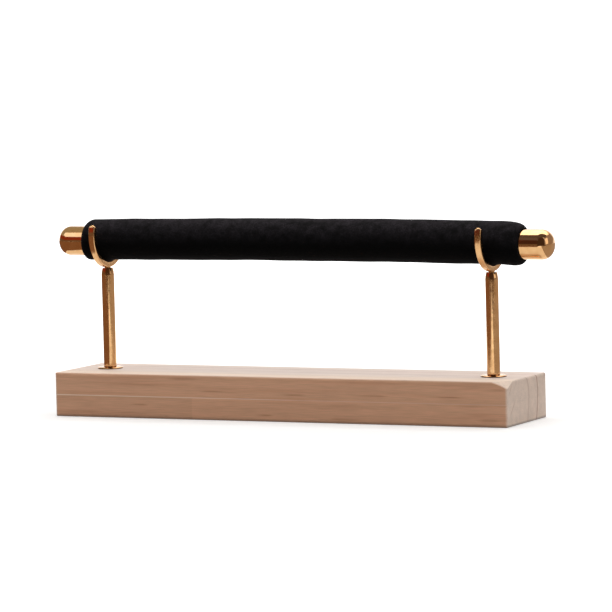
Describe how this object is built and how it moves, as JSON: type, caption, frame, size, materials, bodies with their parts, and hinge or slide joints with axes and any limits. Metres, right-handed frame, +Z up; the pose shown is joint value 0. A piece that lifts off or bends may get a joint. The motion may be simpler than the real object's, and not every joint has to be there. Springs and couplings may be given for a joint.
{
  "type": "ring display stand",
  "caption": "Tabletop jewellery stand: a padded suede bar with domed metal ends, lying in U-shaped cradles on turned posts over a solid wooden base.",
  "frame": {"origin": "middle of the base's underside", "axes": "+X along the base to the viewer's right, -Y to the front, +Z up"},
  "size_m": [0.2182, 0.04, 0.0786],
  "materials": {
    "pine": "planed and sanded pine, unvarnished, eased edges",
    "gold_plate": "polished, gold-plated",
    "suede": "black microfibre suede, short matt nap",
    "foam": "closed-cell foam, hidden",
    "steel": "zinc-plated"
  },
  "bodies": {
    "root": {"base": "pine", "foot_washer_left": "gold_plate", "foot_washer_right": "gold_plate", "post_left": "gold_plate", "post_right": "gold_plate", "cradle_left": "gold_plate", "cradle_right": "gold_plate", "core_tube": "steel", "padding": "foam", "suede_sleeve": "suede", "end_cap_left": "gold_plate", "end_cap_right": "gold_plate", "plain_washer_left": "steel", "plain_washer_right": "steel", "base_screw_left": "steel", "base_screw_right": "steel"}
  },
  "joints": []
}
